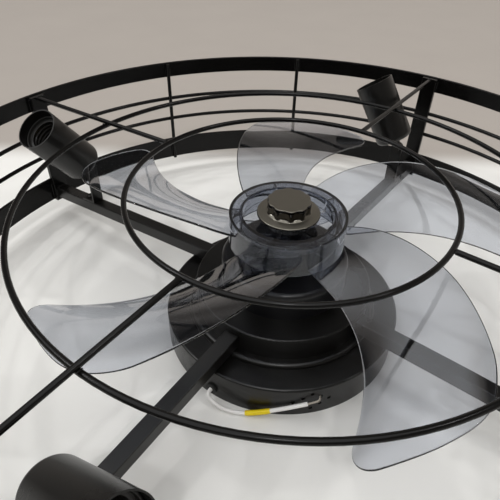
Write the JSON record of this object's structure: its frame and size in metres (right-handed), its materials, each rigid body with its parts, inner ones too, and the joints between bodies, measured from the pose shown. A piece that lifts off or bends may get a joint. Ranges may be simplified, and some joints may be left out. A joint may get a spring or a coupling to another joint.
{
  "type": "caged ceiling fan with lamp heads",
  "caption": "Caged ceiling fan: a smoked impeller on a stepped canopy inside a welded ring cage, with tilting lamp cups on square arms.",
  "frame": {"origin": "centre of the ceiling mounting face", "axes": "+Z along the fan shaft, away from the ceiling; +X along the first arm"},
  "size_m": [0.6019, 0.602, 0.1481],
  "materials": {
    "black_paint": "satin black powder coat",
    "motor_paint": "satin dark grey paint",
    "plated_steel": "zinc-plated sheet",
    "dark_steel": "black-oxide screws",
    "bright_steel": "ground steel",
    "core_steel": "stacked electrical steel",
    "magnet": "dark ferrite ring",
    "copper_wire": "bare or enamelled copper",
    "tinned_wire": "tinned copper strands, twisted",
    "smoked_plastic": "smoked clear polycarbonate, polished",
    "black_plastic": "moulded black plastic",
    "gunmetal": "gunmetal plating, polished",
    "socket_plastic": "heat-resistant black moulding",
    "socket_metal": "plated brass centre contact and side strip",
    "white_plastic": "white plastic",
    "grommet_rubber": "soft black grommet",
    "yellow_plastic": "yellow heat-shrink sleeve"
  },
  "bodies": {
    "frame": {"canopy": "black_paint", "mounting_plate": "plated_steel", "carrier_plate": "plated_steel", "carrier_spacers": "plated_steel", "frame_screws": "dark_steel", "motor_base": "plated_steel", "motor_housing": "motor_paint", "lower_bearing": "bright_steel", "upper_bearing": "bright_steel", "stator_core": "core_steel", "stator_windings": "copper_wire", "receiver_box": "white_plastic", "terminal_block": "white_plastic", "buzzer": "black_plastic", "lead_grommet": "grommet_rubber", "signal_lead": "white_plastic", "lead_sleeve": "yellow_plastic", "lead_tip": "tinned_wire", "upper_rim": "black_paint", "lower_rim": "black_paint", "upper_hoop": "black_paint", "lower_hoop": "black_paint", "flat_uprights": "black_paint", "rod_uprights": "black_paint", "middle_ring": "black_paint", "inner_ring": "black_paint", "grille_spokes": "black_paint", "pivot_bolts": "dark_steel", "pivot_nuts": "dark_steel", "arm_1": "black_paint", "arm_2": "black_paint", "arm_3": "black_paint", "arm_4": "black_paint", "lamp_bracket_1": "black_paint", "lamp_bracket_2": "black_paint", "lamp_bracket_3": "black_paint", "lamp_bracket_4": "black_paint"},
    "rotor": {"rotor_shaft": "bright_steel", "drive_pin": "bright_steel", "rotor_core": "core_steel", "magnet_ring": "magnet", "impeller": "smoked_plastic", "nut_collar": "black_plastic", "spinner_nut": "gunmetal"},
    "lamp_head_1": {"lamp_cup_1": "black_paint", "socket_body_1": "socket_plastic", "socket_contacts_1": "socket_metal"},
    "lamp_head_2": {"lamp_cup_2": "black_paint", "socket_body_2": "socket_plastic", "socket_contacts_2": "socket_metal"},
    "lamp_head_3": {"lamp_cup_3": "black_paint", "socket_body_3": "socket_plastic", "socket_contacts_3": "socket_metal"},
    "lamp_head_4": {"lamp_cup_4": "black_paint", "socket_body_4": "socket_plastic", "socket_contacts_4": "socket_metal"}
  },
  "joints": [
    {"name": "fan_spin", "type": "hinge", "parent": "frame", "child": "rotor", "pos_m": [0, 0, 0.105], "axis": [0, 0, 1], "continuous": true},
    {"name": "lamp_tilt_1", "type": "hinge", "parent": "frame", "child": "lamp_head_1", "pos_m": [0.233, 0, 0.0757], "axis": [1, 0, 0], "range_deg": [-50, 10]},
    {"name": "lamp_tilt_2", "type": "hinge", "parent": "frame", "child": "lamp_head_2", "pos_m": [0, 0.233, 0.0757], "axis": [0, 1, 0], "range_deg": [-52, 8]},
    {"name": "lamp_tilt_3", "type": "hinge", "parent": "frame", "child": "lamp_head_3", "pos_m": [-0.233, 0, 0.0757], "axis": [-1, 0, 0], "range_deg": [-47, 13]},
    {"name": "lamp_tilt_4", "type": "hinge", "parent": "frame", "child": "lamp_head_4", "pos_m": [0, -0.233, 0.0757], "axis": [0, -1, 0], "range_deg": [-23, 37]}
  ]
}
